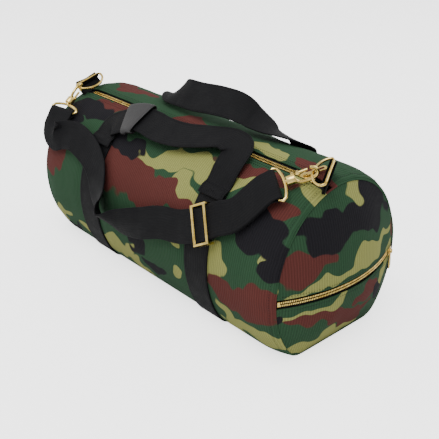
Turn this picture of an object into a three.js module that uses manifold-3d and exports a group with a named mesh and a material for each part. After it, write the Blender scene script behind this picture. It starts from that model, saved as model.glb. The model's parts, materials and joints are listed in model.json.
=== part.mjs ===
// A stuffed roll bag for drum sticks: a cloth tube with domed ends, a zip along the top, a zipped
// pocket across the right end, two webbing carry handles gathered in a leather grip, and a
// shoulder strap that hooks on a D-ring at each end.
//
// Millimetres, +Z up, +X along the bag to the pocket end, -Y the front. The origin is on the
// floor, under the middle of the bag.
//
// Most pieces lie on the cloth, so they are placed by body coordinates: x along the bag, an angle
// in degrees round it (0 at the top, positive towards the front) and a lift above the cloth.

import * as THREE from "three";
import { LoftGeometry } from "three/addons/geometries/LoftGeometry.js";
import { mergeVertices } from "three/addons/utils/BufferGeometryUtils.js";
import Module from "manifold-3d";

const wasm = await Module();
wasm.setup();

// ---- Driving dimensions -------------------------------------------------------------------

const HALF_LENGTH = 220; // middle of the bag to an end seam
const HALF_WIDTH = 102;
const RISE = 115; // from the section's centre up to the cloth
const CENTRE_HEIGHT = 81;
const SEAM_PULL = 0.06; // share of its radius that the cloth loses at an end seam
const PULL_START = 185; // where that narrowing starts
const END_RADIUS = 200; // of the domed ends, seen from above
const SAG_ROUND = 12; // softness of the corner where the cloth meets the floor
const CLOTH = 1.5;
const GAP = 0.3; // clearance between pieces that touch
const RIM_GAP = 1.1; // between an end panel's rim and the tube it is sewn to

const WEB_WIDTH = 38;
const WEB = 1.8; // thickness of the webbing
const BAND_X = 105; // the two webbing bands, either side of the middle
const BAND_TOP = 46; // angle where a band ends and its handle starts
const TAB_WIDTH = 34;

const ZIP_ANGLE = 14; // the main zip is rolled a little to the front
const POCKET_ZIP_HEIGHT = 80;
const SLOT_HALF = 5.5; // half the opening that a zip shows between the cloth's edges
const TAPE_WIDTH = 13;
const TAPE = 0.8;
const TEETH_GAP = 1.1; // between the two rows
const TEETH_WIDTH = 2.3;
const TEETH_HEIGHT = 2.6;
const STOP_LENGTH = 3;

const RING_WIRE = 1.7; // radii of the brass wires
const HOOK_WIRE = 1.9;
const EYE_WIRE = 1.7;
const RING_HALF = 21.5; // half the width of a D-ring, to the middle of its wire
const RING_DEPTH = 18;
const EYE_HALF = 21.5;

// ---- Vectors and the shape of the stuffed cloth -------------------------------------------

const v3 = (x, y, z) => new THREE.Vector3(x, y, z);
const rad = THREE.MathUtils.degToRad;
const lerp = THREE.MathUtils.lerp;
const range = (count) => Array.from({ length: count }, (_, i) => i);
const steps = (from, to, count) => range(count + 1).map((i) => lerp(from, to, i / count));

// How full the tube is at x: 1 along the middle, less where an end seam pulls it in.
function fullness(x) {
  const t = Math.max(0, Math.min(Math.abs(x), HALF_LENGTH) - PULL_START);
  return 1 - SEAM_PULL * (t / (HALF_LENGTH - PULL_START)) ** 2;
}

// The cloth is pressed in by the thickness of the webbing that runs under the bag.
function pressedIn(x) {
  const fromBand = Math.abs(Math.abs(x) - BAND_X) - WEB_WIDTH / 2;
  return (GAP + WEB) * THREE.MathUtils.clamp(1 - (fromBand - 2) / 5, 0, 1);
}

// Heights near the floor are eased on to it, so the bag rests on a flat patch.
function settle(z, floor) {
  const t = THREE.MathUtils.clamp(z - floor + SAG_ROUND, 0, Infinity);
  return t > 2 * SAG_ROUND ? z : floor + (t * t) / (4 * SAG_ROUND);
}

// Outward direction of the cloth at an angle.
function outward(angle) {
  const a = rad(angle);
  return v3(0, -Math.sin(a) / HALF_WIDTH, Math.cos(a) / RISE).normalize();
}

// The point at body coordinates.
function onBody(x, angle, lift = 0) {
  const a = rad(angle);
  const f = fullness(x);
  const n = outward(angle);
  const y = -HALF_WIDTH * f * Math.sin(a) + lift * n.y;
  const z = CENTRE_HEIGHT + RISE * f * Math.cos(a) + lift * n.z;
  return v3(x, y, settle(z, pressedIn(x) - lift));
}

// How far out a domed end stands at a share q of the way from its centre to its seam.
function domeX(q) {
  const seamRadius = HALF_WIDTH * fullness(HALF_LENGTH);
  const sagitta = (r) => Math.sqrt(END_RADIUS ** 2 - r ** 2);
  return HALF_LENGTH + sagitta(q * seamRadius) - sagitta(seamRadius);
}

// A point on a domed end, at a share q of the way out to the seam; depth is behind the cloth.
function onEnd(side, q, angle, depth) {
  const rim = onBody(HALF_LENGTH, angle, -CLOTH - RIM_GAP);
  const centre = v3(0, 0, CENTRE_HEIGHT);
  const p = centre.lerp(v3(0, rim.y, rim.z), q);
  return v3(side * (domeX(q) - depth), p.y, p.z);
}

// ---- Solids -------------------------------------------------------------------------------

// A closed geometry with only positions, its shared vertices merged and its faces pointing out.
function closed(geometry) {
  const bare = new THREE.BufferGeometry();
  bare.setAttribute("position", geometry.getAttribute("position"));
  bare.setIndex(geometry.index);
  const merged = mergeVertices(bare, 1e-4);
  const corners = merged.index.array;
  const kept = [];
  for (let i = 0; i < corners.length; i += 3) {
    const [a, b, c] = corners.subarray(i, i + 3);
    if (a !== b && b !== c && c !== a) kept.push(a, b, c);
  }
  merged.setIndex(kept);
  const solid = new wasm.Manifold(meshData(merged));
  if (solid.volume() < 0) {
    const index = merged.index.array;
    for (let i = 0; i < index.length; i += 3) {
      [index[i], index[i + 1]] = [index[i + 1], index[i]];
    }
  }
  return merged;
}

function meshData(geometry) {
  return new wasm.Mesh({
    numProp: 3,
    vertProperties: new Float32Array(geometry.attributes.position.array),
    triVerts: new Uint32Array(geometry.index.array),
  });
}

const solidOf = (geometry) => new wasm.Manifold(meshData(closed(geometry)));

function geometryOf(solid) {
  const mesh = solid.simplify(0.01).getMesh();
  const geometry = new THREE.BufferGeometry();
  geometry.setAttribute("position", new THREE.BufferAttribute(mesh.vertProperties, 3));
  geometry.setIndex(new THREE.BufferAttribute(mesh.triVerts, 1));
  return geometry;
}

const loft = (sections) => closed(new LoftGeometry(sections, { capStart: true, capEnd: true }));

// A loft that needs no caps: its first and last sections shrink to a point or are the same.
const loftShut = (sections) => closed(new LoftGeometry(sections));

// A flat strip through stations of { at, face, tangent }: face is the way its flat side looks.
function strip(stations, width, thickness) {
  return loft(
    stations.map(({ at, face, tangent }) => {
      const across = face.clone().cross(tangent).normalize();
      const out = tangent.clone().cross(across).normalize();
      const corner = (u, w) =>
        at
          .clone()
          .addScaledVector(across, (u * width) / 2)
          .addScaledVector(out, (w * thickness) / 2);
      return [corner(-1, -1), corner(1, -1), corner(1, 1), corner(-1, 1)];
    }),
  );
}

// Stations of webbing laid over the bag through knots of [x, angle, lift, twist]: the twist, in
// degrees, turns its flat side about the way it runs. from and to are shares of the whole run.
function layOver(knots, count, from = 0, to = 1) {
  const path = new THREE.CatmullRomCurve3(knots.map(([x, angle, lift]) => v3(x, angle, lift)));
  const at = (t) => {
    const { x, y, z } = path.getPoint(THREE.MathUtils.clamp(t, 0, 1));
    return onBody(x, y, z);
  };
  return steps(from, to, count).map((t) => {
    const s = t * (knots.length - 1);
    const i = Math.min(Math.floor(s), knots.length - 2);
    const twist = lerp(knots[i][3] ?? 0, knots[i + 1][3] ?? 0, s - i);
    const tangent = at(t + 0.01).sub(at(t - 0.01)).normalize();
    const face = outward(path.getPoint(t).y).applyAxisAngle(tangent, rad(twist));
    return { at: at(t), face, tangent };
  });
}

const webbingStrip = (stations) => strip(stations, WEB_WIDTH, WEB);

// Webbing doubled round a bar: its two layers run side by side along a path that ends at the bar.
// across is the bar's direction.
function doubledRound(path, across, barRadius, width) {
  const layer = WEB / 2 + GAP / 2;
  const r = barRadius + GAP + WEB / 2;
  const out = [];
  const back = [];
  for (const t of steps(0, 1, 5)) {
    const at = path.getPoint(t);
    const tangent = path.getTangent(t);
    const face = tangent.clone().cross(across).normalize();
    const spread = lerp(layer, r, THREE.MathUtils.smoothstep(t, 0.4, 0.9));
    out.push({ at: at.clone().addScaledVector(face, spread), face, tangent });
    const turned = { face: face.clone().negate(), tangent: tangent.clone().negate() };
    back.unshift({ at: at.clone().addScaledVector(face, -spread), ...turned });
  }
  const bar = path.getPoint(1).addScaledVector(path.getTangent(1), r * 0.2);
  const { face, tangent } = out.at(-1);
  const round = steps(10, 170, 8).map((degrees) => {
    const turn = (v) => v.clone().applyAxisAngle(across, -rad(degrees));
    return { at: bar.clone().addScaledVector(turn(face), r), face: turn(face), tangent: turn(tangent) };
  });
  return strip([...out, ...round, ...back], width, WEB);
}

// A round wire through points, open or closed on itself.
function wire(points, radius, loop = false) {
  const curve = new THREE.CatmullRomCurve3(points, loop, "catmullrom", 0.5);
  const count = 2 * points.length;
  const { normals, binormals } = curve.computeFrenetFrames(count, loop);
  const rings = range(count + 1).map((i) =>
    range(8).map((k) => {
      const a = (k / 8) * 2 * Math.PI;
      return curve
        .getPointAt(i / count)
        .addScaledVector(normals[i], radius * Math.cos(a))
        .addScaledVector(binormals[i], radius * Math.sin(a));
    }),
  );
  return loop ? loftShut([...rings.slice(0, -1), rings[0]]) : loft(rings);
}

// ---- Materials and naming -----------------------------------------------------------------

const look = (color, roughness, metalness = 0) => () =>
  new THREE.MeshStandardMaterial({ color, roughness, metalness });
const cloth = look(0x5d6440, 0.9);
const lining = look(0x1c1c1e, 0.9);
const webbing = look(0x17161a, 0.85);
const tape = look(0x141416, 0.9);
const brass = look(0xd9c27a, 0.3, 1);
const leather = look(0x232022, 0.55);

const bag = new THREE.Group();

function add(name, geometry, material, parent = bag) {
  const mesh = new THREE.Mesh(geometry, material());
  mesh.name = name;
  parent.add(mesh);
  return mesh;
}

// ---- Cloth body, ends and lining ----------------------------------------------------------

// Stations along the bag: closer where the ends pull in and where webbing presses the cloth.
const bandEdges = [-7, -2].map((d) => BAND_X - WEB_WIDTH / 2 + d);
const halfStations = [...bandEdges, BAND_X + WEB_WIDTH / 2 + 2, BAND_X + WEB_WIDTH / 2 + 7];
const pulledStations = steps(PULL_START, HALF_LENGTH, 3);
const rightStations = [...halfStations, ...pulledStations];
const stationsX = [...rightStations.map((x) => -x).reverse(), ...rightStations];

// Degrees of body angle for a length round the top of the bag.
const topDegrees = (length) => THREE.MathUtils.radToDeg(length / HALF_WIDTH);

// A sheet that follows the cloth between two angles and two lifts.
function clothSheet(xs, fromAngle, toAngle, fromLift, toLift, count) {
  const angles = steps(fromAngle, toAngle, count);
  return loft(
    xs.map((x) => [
      ...angles.map((a) => onBody(x, a, toLift)),
      ...angles.toReversed().map((a) => onBody(x, a, fromLift)),
    ]),
  );
}

const slotEdge = topDegrees(SLOT_HALF);
const bodyPanel = clothSheet(stationsX, ZIP_ANGLE + slotEdge, ZIP_ANGLE + 360 - slotEdge, -CLOTH, 0, 36);
add("body_panel", bodyPanel, cloth);

const ringAngles = range(40).map((i) => i * 9);

// A domed sheet over one end, from its centre out to a share of the way to the seam.
function domedSheet(side, fromDepth, toDepth, edge) {
  const shares = [0, 0.3, 0.55, 0.8, edge];
  const rings = (depth, list) => list.map((q) => ringAngles.map((a) => onEnd(side, q, a, depth)));
  return loftShut([...rings(fromDepth, shares), ...rings(toDepth, shares.toReversed())]);
}

add("left_end_panel", domedSheet(-1, 0, CLOTH, 1), cloth);

// A slab across the right end between two heights, for cutting its pieces.
function slab(fromZ, toZ) {
  const box = new THREE.BoxGeometry(120, 300, toZ - fromZ);
  box.translate(HALF_LENGTH, 0, (fromZ + toZ) / 2);
  return solidOf(box);
}

const rightEnd = solidOf(domedSheet(1, 0, CLOTH, 1));
const upperPart = rightEnd.intersect(slab(POCKET_ZIP_HEIGHT + SLOT_HALF, 300));
const lowerPart = rightEnd.intersect(slab(-20, POCKET_ZIP_HEIGHT - SLOT_HALF));
add("right_end_panel_upper", geometryOf(upperPart), cloth);
add("right_end_panel_lower", geometryOf(lowerPart), cloth);

// The pocket's inner wall, which closes the pocket off from the main compartment.
const POCKET_DEPTH = 16;
add("end_pocket_lining", domedSheet(1, POCKET_DEPTH, POCKET_DEPTH + 1, 0.96), lining);

// The tape bound over each end seam's raw edges, inside the bag.
function seamBinding(side) {
  const outer = -CLOTH - RIM_GAP;
  const inner = outer - 1.2;
  const ringAt = (x, lift) => ringAngles.map((a) => onBody(side * x, a, lift));
  const near = ringAt(214, outer);
  return loftShut([near, ringAt(204, outer), ringAt(204, inner), ringAt(214, inner), near]);
}

add("left_seam_binding", seamBinding(-1), lining);
add("right_seam_binding", seamBinding(1), lining);

// ---- Zips ---------------------------------------------------------------------------------

// Both zips are made from bars between an inner and an outer edge, measured from the chain's
// middle, and two depths below the cloth.
const TAPE_DEPTH = CLOTH + 0.9;
const teethDepth = TAPE_DEPTH + TAPE / 2;
const rowInner = TEETH_GAP / 2;
const rowOuter = rowInner + TEETH_WIDTH;
const tapeInner = rowOuter + GAP;
const tapeOuter = tapeInner + TAPE_WIDTH;
const teethDepths = [teethDepth - TEETH_HEIGHT / 2, teethDepth + TEETH_HEIGHT / 2];
const tapeDepths = [TAPE_DEPTH, TAPE_DEPTH + TAPE];

// A bar of the main zip; edges are towards the front when they are positive.
function mainZipBar(fromX, toX, edges, depths) {
  const angles = edges.map((edge) => ZIP_ANGLE + topDegrees(edge));
  const [top, bottom] = depths;
  return loft(
    steps(fromX, toX, Math.abs(toX - fromX) > 50 ? 12 : 1).map((x) => [
      onBody(x, angles[0], -top),
      onBody(x, angles[1], -top),
      onBody(x, angles[1], -bottom),
      onBody(x, angles[0], -bottom),
    ]),
  );
}

// The end zip runs round an arc about a vertical axis.
const END_AXIS_X = domeX(0) - END_RADIUS;
const onEndArc = (turn, height, depth) => {
  const r = END_RADIUS - depth;
  return v3(END_AXIS_X + r * Math.cos(rad(turn)), r * Math.sin(rad(turn)), height);
};

// A bar of the end zip between two turns of that arc; edges are upwards when they are positive.
function endZipBar(fromTurn, toTurn, edges, depths) {
  const heights = edges.map((edge) => POCKET_ZIP_HEIGHT + edge);
  const [outside, inside] = depths;
  return loft(
    steps(fromTurn, toTurn, toTurn - fromTurn > 5 ? 14 : 1).map((turn) => [
      onEndArc(turn, heights[0], inside),
      onEndArc(turn, heights[1], inside),
      onEndArc(turn, heights[1], outside),
      onEndArc(turn, heights[0], outside),
    ]),
  );
}

const MAIN_ZIP_REACH = 196; // how far its chain runs either side of the middle
const endZipTurn = THREE.MathUtils.radToDeg(Math.asin((HALF_WIDTH - 12) / END_RADIUS));
const stopTurn = THREE.MathUtils.radToDeg(STOP_LENGTH / END_RADIUS);

for (const [name, sign] of [["front", 1], ["back", -1]]) {
  const rowEdges = [sign * rowInner, sign * rowOuter].sort((a, b) => a - b);
  const tapeEdges = [sign * tapeInner, sign * tapeOuter].sort((a, b) => a - b);
  const end = MAIN_ZIP_REACH + GAP;
  add(`main_zip_tape_${name}`, mainZipBar(-203, 203, tapeEdges, tapeDepths), tape);
  add(`main_zip_teeth_${name}`, mainZipBar(-MAIN_ZIP_REACH, MAIN_ZIP_REACH, rowEdges, teethDepths), brass);
  add(`main_zip_top_stop_${name}`, mainZipBar(end, end + STOP_LENGTH, rowEdges, teethDepths), brass);
}
for (const [name, sign] of [["lower", -1], ["upper", 1]]) {
  const rowEdges = [sign * rowInner, sign * rowOuter].sort((a, b) => a - b);
  const tapeEdges = [sign * tapeInner, sign * tapeOuter].sort((a, b) => a - b);
  const end = endZipTurn + 0.1;
  const endTapeDepths = tapeDepths.map((depth) => depth + 1.1);
  add(`end_zip_tape_${name}`, endZipBar(-27.2, 27.2, tapeEdges, endTapeDepths), tape);
  add(`end_zip_teeth_${name}`, endZipBar(-endZipTurn, endZipTurn, rowEdges, teethDepths), brass);
  add(`end_zip_top_stop_${name}`, endZipBar(end, end + stopTurn, rowEdges, teethDepths), brass);
}
const bothRows = [-rowOuter, rowOuter];
const mainStart = -MAIN_ZIP_REACH - GAP;
add("main_zip_bottom_stop", mainZipBar(mainStart - STOP_LENGTH, mainStart, bothRows, teethDepths), brass);
const endStart = -endZipTurn - 0.1;
add("end_zip_bottom_stop", endZipBar(endStart - stopTurn, endStart, bothRows, teethDepths), brass);

// A group whose own axes lie along given directions: z is exact, x is squared to it.
function frameAt(position, x, z) {
  const group = new THREE.Group();
  const side = z.clone().cross(x).normalize();
  const ahead = side.clone().cross(z).normalize();
  group.matrix.makeBasis(ahead, side, z.clone().normalize()).setPosition(position);
  group.matrix.decompose(group.position, group.quaternion, group.scale);
  bag.add(group);
  return group;
}

const box = (x, y, z, cx, cy, cz) => new THREE.BoxGeometry(x, y, z).translate(cx, cy, cz);

// A rod of radius r between two heights on the z axis.
const rod = (r, from, to, sides = 14) => {
  const upright = new THREE.CylinderGeometry(r, r, to - from, sides).rotateX(Math.PI / 2);
  return upright.translate(0, 0, (from + to) / 2);
};

const join = (...parts) => geometryOf(parts.map(solidOf).reduce((a, b) => a.add(b)));
const cut = (whole, ...tools) =>
  geometryOf(tools.map(solidOf).reduce((a, b) => a.subtract(b), solidOf(whole)));

// A zip's slider: a plate above the chain and one below, joined by a thin web between the rows,
// with a capped post on top for the pull. Its x runs along the chain and its z points outwards,
// from the cloth's outer face.
const SLIDER_LENGTH = 11;
const SLIDER_WIDTH = 9;
const PLATE = 1;
const sliderTop = -teethDepths[0] + 0.6;
const sliderBottom = -teethDepths[1] - 0.6;
const pullLevel = sliderTop + PLATE + GAP;
const PULL_THICKNESS = 1.3;
function zipSlider() {
  const upper = box(SLIDER_LENGTH, SLIDER_WIDTH, PLATE, 0, 0, sliderTop + PLATE / 2);
  const lower = box(SLIDER_LENGTH, SLIDER_WIDTH, PLATE, 0, 0, sliderBottom - PLATE / 2);
  const web = box(5, TEETH_GAP - 0.6, sliderTop - sliderBottom + 1, 2, 0, (sliderTop + sliderBottom) / 2);
  const capFoot = pullLevel + PULL_THICKNESS + GAP;
  const post = rod(1.2, sliderTop, capFoot + 0.5);
  const cap = rod(2.4, capFoot, capFoot + 1);
  return join(upper, lower, web, post, cap);
}

// A zip's pull: a narrow tab with a slot at its far end, turning on the slider's post.
const PULL_LENGTH = 24;
function zipPull() {
  const outline = new THREE.Shape();
  outline.absarc(0, 0, 3, Math.PI / 2, -Math.PI / 2);
  outline.lineTo(9, -1.8);
  outline.lineTo(13, -3.6);
  outline.absarc(PULL_LENGTH - 3.6, 0, 3.6, -Math.PI / 2, Math.PI / 2);
  outline.lineTo(13, 3.6);
  outline.lineTo(9, 1.8);
  outline.holes.push(new THREE.Path().absarc(0, 0, 1.6, 0, 2 * Math.PI));
  const slot = new THREE.Path().absarc(15.5, 0, 1.8, Math.PI / 2, (3 * Math.PI) / 2);
  slot.absarc(PULL_LENGTH - 4.4, 0, 1.8, -Math.PI / 2, Math.PI / 2);
  outline.holes.push(slot);
  const settings = { depth: PULL_THICKNESS, bevelEnabled: false, curveSegments: 6 };
  return closed(new THREE.ExtrudeGeometry(outline, settings).translate(0, 0, pullLevel));
}

const MAIN_SLIDER_X = MAIN_ZIP_REACH - 7;
const mainSlider = frameAt(onBody(MAIN_SLIDER_X, ZIP_ANGLE, 0), v3(1, 0, 0), outward(ZIP_ANGLE));
add("main_zip_slider", zipSlider(), brass, mainSlider);
add("main_zip_pull", zipPull().rotateZ(rad(66)), brass, mainSlider);

const endSliderTurn = endZipTurn - 2;
const endOut = v3(Math.cos(rad(endSliderTurn)), Math.sin(rad(endSliderTurn)), 0);
const alongChain = v3(-endOut.y, endOut.x, 0);
const endSlider = frameAt(onEndArc(endSliderTurn, POCKET_ZIP_HEIGHT, 0), alongChain, endOut);
add("end_zip_slider", zipSlider(), brass, endSlider);
add("end_zip_pull", zipPull().rotateZ(rad(-84)), brass, endSlider);

// ---- Webbing bands and carry handles ------------------------------------------------------

// Each band runs down the front, under the bag and up the back.
const bandLift = GAP + WEB / 2;
for (const [name, side] of [["left", -1], ["right", 1]]) {
  const knots = [[side * BAND_X, BAND_TOP, bandLift], [side * BAND_X, 360 - BAND_TOP, bandLift]];
  add(`${name}_body_webbing`, webbingStrip(layOver(knots, 44)), webbing);
}

// The handles lie over the top of the bag, from the left band to the right one.
const foot = BAND_TOP - 3;
const frontRun = [
  [-BAND_X, foot, bandLift],
  [-BAND_X, foot - 3, bandLift],
  [-102, 36, 4],
  [-86, 32, 9],
  [-66, 27, 12],
  [-42, 26, 13],
  [-12, 27, 12],
  [20, 25, 11],
  [50, 20, 11],
  [80, 15, 11],
  [101, 20, 9],
  [BAND_X, 33, 5],
  [BAND_X, foot - 3, bandLift],
  [BAND_X, foot, bandLift],
];
const backRun = [
  [-BAND_X, -foot, bandLift],
  [-BAND_X, 3 - foot, bandLift],
  [-103, -35, 4],
  [-92, -20, 9],
  [-72, -8, 16, 35],
  [-45, -3, 23, 55],
  [-15, -2, 25, 55],
  [20, -2, 29, 50],
  [52, -4, 28, 45],
  [78, -9, 16, 20],
  [100, -14, 8],
  [114, -24, 5],
  [107, -35, 4],
  [BAND_X, 3 - foot, bandLift],
  [BAND_X, -foot, bandLift],
];
add("front_handle", webbingStrip(layOver(frontRun, 44)), webbing);
add("back_handle", webbingStrip(layOver(backRun, 48)), webbing);

// The leather grip: a flattened sleeve round the front handle, closed by a press stud.
const WRAP_FROM = 0.26; // shares of the front handle's run
const WRAP_TO = 0.36;
const WRAP_THICKNESS = 2;
function handleWrap() {
  const ovalAt = ({ at, face, tangent }, halfWidth, halfHeight) => {
    const across = face.clone().cross(tangent).normalize();
    const out = tangent.clone().cross(across).normalize();
    return range(20).map((i) => {
      const a = (i / 20) * 2 * Math.PI;
      const u = Math.sign(Math.cos(a)) * Math.abs(Math.cos(a)) ** 0.5 * halfWidth;
      const w = Math.sign(Math.sin(a)) * Math.abs(Math.sin(a)) ** 0.6 * halfHeight;
      return at.clone().addScaledVector(across, u).addScaledVector(out, w);
    });
  };
  const stations = layOver(frontRun, 6, WRAP_FROM, WRAP_TO);
  const outer = stations.map((s) => ovalAt(s, 24.5, 5.4));
  const inner = stations.map((s) => ovalAt(s, 24.5 - WRAP_THICKNESS, 5.4 - WRAP_THICKNESS)).reverse();
  return loftShut([...outer, ...inner, outer[0]]);
}
add("handle_wrap", handleWrap(), leather);

// ---- D-rings on their webbing tabs --------------------------------------------------------

// A D-ring about its straight bar, which is its z axis; its curve reaches out along x.
function dRing() {
  const side = RING_HALF;
  const half = [[0, side - 1.9], [1.9, side], [9, 19.5], [15.2, 11.5]];
  const points = [...half, [RING_DEPTH, 0], ...half.toReversed().map(([x, z]) => [x, -z]), [0, 0]];
  return wire(points.map(([x, z]) => v3(x, 0, z)), RING_WIRE, true);
}

// A tab of doubled webbing that leaves an end seam along a path and holds a ring by its bar.
function ringTab(side, path, arc) {
  const curve = new THREE.CatmullRomCurve3(path);
  const barPoint = path.at(-1);
  const ring = frameAt(barPoint, arc, side.bar);
  add(`${side.name}_d_ring`, dRing(), brass, ring);
  add(`${side.name}_ring_tab`, doubledRound(curve, side.bar, RING_WIRE, TAB_WIDTH), webbing);
  return ring;
}

const right = { name: "right", bar: v3(0.45, -0.85, -0.31).normalize() };
const left = { name: "left", bar: v3(0.1, -0.97, -0.2).normalize() };
const rightPath = [v3(214, -19, 194.5), v3(217, -22, 200), v3(219, -23, 206)];
const leftPath = [v3(-212, -20.5, 194.5), v3(-214.5, -22.5, 199.5), v3(-213.5, -24, 204.5)];
bag.updateMatrixWorld(true);
const rightRing = ringTab(right, rightPath, v3(-0.82, -0.52, -0.24));
const leftRing = ringTab(left, leftPath, v3(0.85, -0.1, -0.35));

// Where each hook hangs on its ring: on the curve at the right, on the front leg at the left.
right.hold = rightRing.localToWorld(v3(RING_DEPTH, 0, 0));
left.hold = leftRing.localToWorld(v3(7.5, 0, RING_HALF - 1.3));

// ---- Swivel hooks -------------------------------------------------------------------------

const HOOK_REACH = 39.8; // from the strap's bar to where the ring sits in the claw
const COLLAR_BORE = 2.5;
const GATE_PIVOT = 25;

// The eye: a wire loop with the strap's bar at z = 0, and a headed post that turns in the collar.
function hookEye() {
  const half = [[EYE_HALF - 1.9, 0], [EYE_HALF, 1.9], [19.5, 6.5], [9, 9.6]];
  const points = [...half, [0, 10.3], ...half.toReversed().map(([x, z]) => [-x, z]), [0, 0]];
  const loop = wire(points.map(([x, z]) => v3(x, 0, z)), EYE_WIRE, true);
  const post = rod(COLLAR_BORE - 0.5, 10, 17.5, 12);
  const head = rod(3.4, 16, 18, 16);
  return join(loop, post, head);
}

// The claw on its collar, in the y-z plane, open on the +y side where the gate closes it.
function hookClaw() {
  const back = [[0, 20], [-4.5, 23], [-6.6, 29], [-6.6, 37]];
  const tip = [[-4.5, 43], [0, 45.3], [4.5, 43], [6.3, 38.5]];
  const claw = wire([...back, ...tip].map(([y, z]) => v3(0, y, z)), HOOK_WIRE);
  const collar = rod(5.2, 12.8, 21);
  const shoulder = box(4.4, 8, 3, 0, 3, 20);
  return cut(join(claw, collar, shoulder), rod(COLLAR_BORE, 10, 15.7), rod(3.8, 15.6, 18.4));
}

// The gate, about the pivot where it is hinged to the claw's foot.
function hookGate() {
  const barrel = rod(2, -2.4, 2.4, 10).rotateY(Math.PI / 2);
  return join(barrel, rod(1.5, 0, 11, 10));
}

function swivelHook(side, from) {
  const along = side.hold.clone().sub(from).normalize();
  const origin = side.hold.clone().addScaledVector(along, -HOOK_REACH);
  const eye = frameAt(origin, side.eyeBar, along);
  add(`${side.name}_hook_eye`, hookEye(), brass, eye);
  const claw = frameAt(origin, side.clawNormal, along);
  add(`${side.name}_hook_claw`, hookClaw(), brass, claw);
  add(`${side.name}_hook_gate`, hookGate().translate(0, 5.2, GATE_PIVOT), brass, claw);
  side.loopBar = v3(1, 0, 0).applyQuaternion(eye.quaternion);
  side.along = along;
  side.origin = origin;
}

right.eyeBar = v3(0.645, -0.584, -0.491);
right.clawNormal = v3(-0.75, 0.65, 0.1);
left.eyeBar = v3(-0.95, -0.2, 0.05);
left.clawNormal = v3(0.88, 0.4, -0.25);
swivelHook(right, v3(177, -62, 187));
swivelHook(left, v3(-198, -77, 173));

// ---- Shoulder strap -----------------------------------------------------------------------

// A knot of the strap's path: a point over the bag and the way its flat side looks there.
const overBag = (x, angle, lift, twist = 0) => ({
  at: onBody(x, angle, lift),
  face: outward(angle).applyAxisAngle(v3(1, 0, 0), rad(twist)),
});

// Stations along the knots, shifted along the flat side by offset(share of the run).
function ribbon(knots, count, offset, from = 0, to = 1) {
  const path = new THREE.CatmullRomCurve3(knots.map((knot) => knot.at), false, "centripetal");
  return steps(from, to, count).map((t) => {
    const s = t * (knots.length - 1);
    const i = Math.min(Math.floor(s), knots.length - 2);
    const tangent = path.getTangent(t);
    const across = knots[i].face.clone().lerp(knots[i + 1].face, s - i).cross(tangent).normalize();
    const face = tangent.clone().cross(across).normalize();
    return { at: path.getPoint(t).addScaledVector(face, offset(t)), face, tangent };
  });
}

// Half a turn round a bar, starting on the side that face looks to; ahead points away from the run.
function halfTurn(bar, face, ahead, radius) {
  return steps(0, 180, 8).map((degrees) => {
    const a = rad(degrees);
    const out = face.clone().multiplyScalar(Math.cos(a)).addScaledVector(ahead, Math.sin(a));
    const tangent = ahead.clone().multiplyScalar(Math.cos(a)).addScaledVector(face, -Math.sin(a));
    return { at: bar.clone().addScaledVector(out, radius), face: out, tangent };
  });
}

const turned = ({ at, face, tangent }) => ({
  at,
  face: face.clone().negate(),
  tangent: tangent.clone().negate(),
});

function barKnots(side, sign) {
  const face = side.along.clone().cross(side.loopBar).normalize();
  if (face.y > 0) face.negate();
  const back = [0, -10].map((d) => ({ at: side.origin.clone().addScaledVector(side.along, d), face }));
  return sign > 0 ? back : back.reverse();
}

const strapKnots = [
  ...barKnots(right, 1),
  overBag(150, 53, 7),
  overBag(130, 59, 8),
  overBag(113, 65, 8),
  overBag(95, 69, 8),
  overBag(78, 72, 7),
  overBag(47, 75, 7),
  overBag(14, 81, 9),
  overBag(-21, 86, 12, 20),
  overBag(-45, 88, 17, 50),
  overBag(-64, 84, 13, 30),
  overBag(-90, 65, 6),
  overBag(-110, 58.5, 5.5),
  overBag(-130, 55, 6),
  overBag(-152, 53, 8),
  overBag(-174, 55, 9, 10),
  overBag(-189, 58, 12, 20),
  overBag(-197, 54, 13, 10),
  ...barKnots(left, -1),
];
const SLIDER_KNOT = 4; // the strap's knot at which the adjuster sits
const lastKnot = strapKnots.length - 1;
const layerShift = WEB / 2 + GAP / 2;
const barShift = EYE_WIRE + GAP + WEB / 2;
const spreadNear = (knot) => (t) =>
  lerp(barShift, layerShift, THREE.MathUtils.smoothstep(Math.abs(t * lastKnot - knot), 0, 0.9));

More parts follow.
